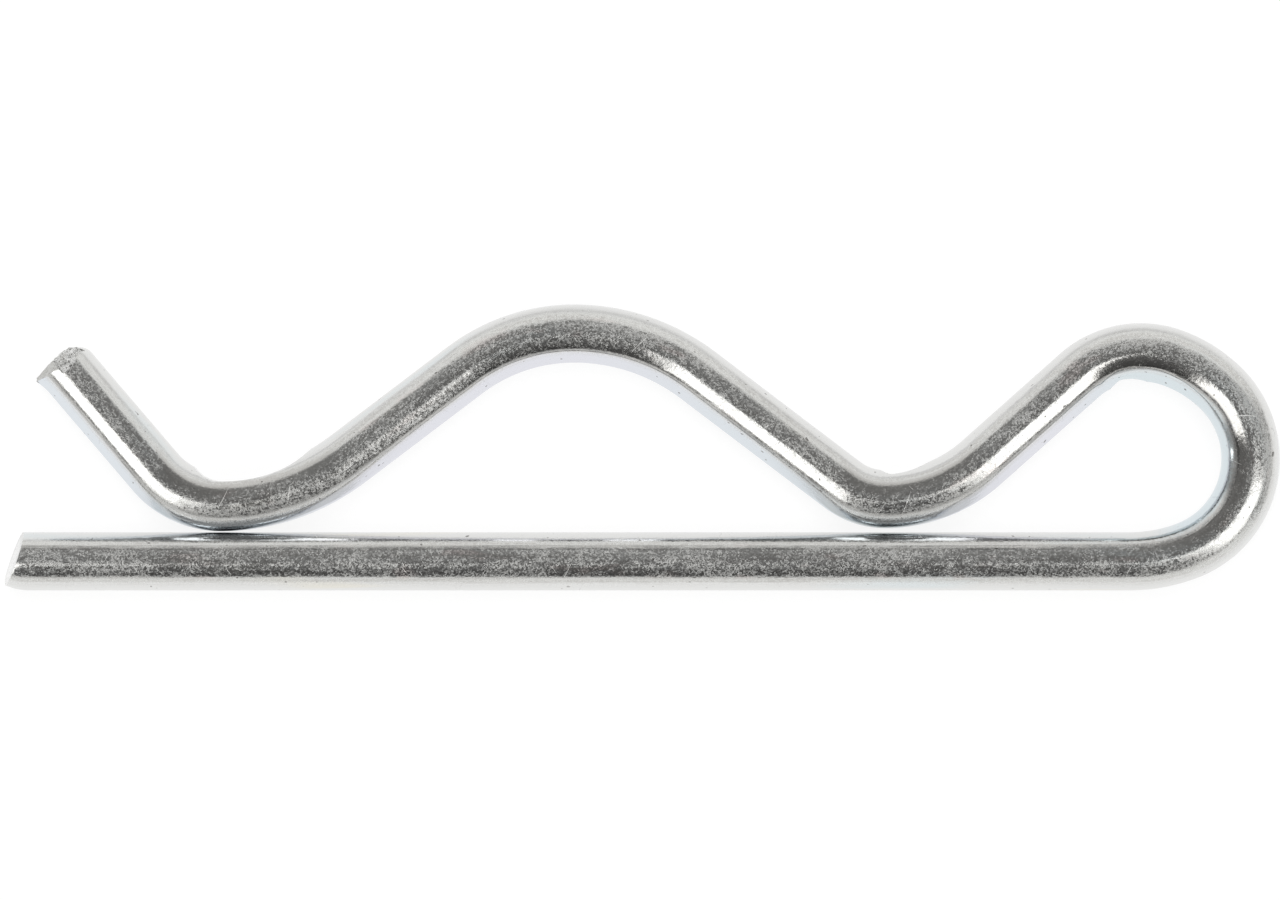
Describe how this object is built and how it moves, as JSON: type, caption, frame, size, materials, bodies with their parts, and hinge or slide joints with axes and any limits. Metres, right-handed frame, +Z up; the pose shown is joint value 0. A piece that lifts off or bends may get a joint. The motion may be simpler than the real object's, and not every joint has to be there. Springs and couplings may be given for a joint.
{
  "type": "hairpin cotter clip",
  "caption": "Bent-wire R-clip: a straight leg for the cross hole of a shaft, an open loop to pull, and a wave leg whose saddle snaps over the shaft.",
  "frame": {"origin": "centre of the clip's outline, on the plane that the clip lies on", "axes": "+X along the straight leg towards the loop, +Y from the straight leg towards the saddle, +Z up, square to the clip's plane"},
  "size_m": [0.0875, 0.0196, 0.004],
  "materials": {
    "zinc_plate": "bright zinc plate on drawn spring wire, a little pitted, with draw lines along the wire"
  },
  "bodies": {
    "root": {"clip_wire": "zinc_plate"}
  },
  "joints": []
}
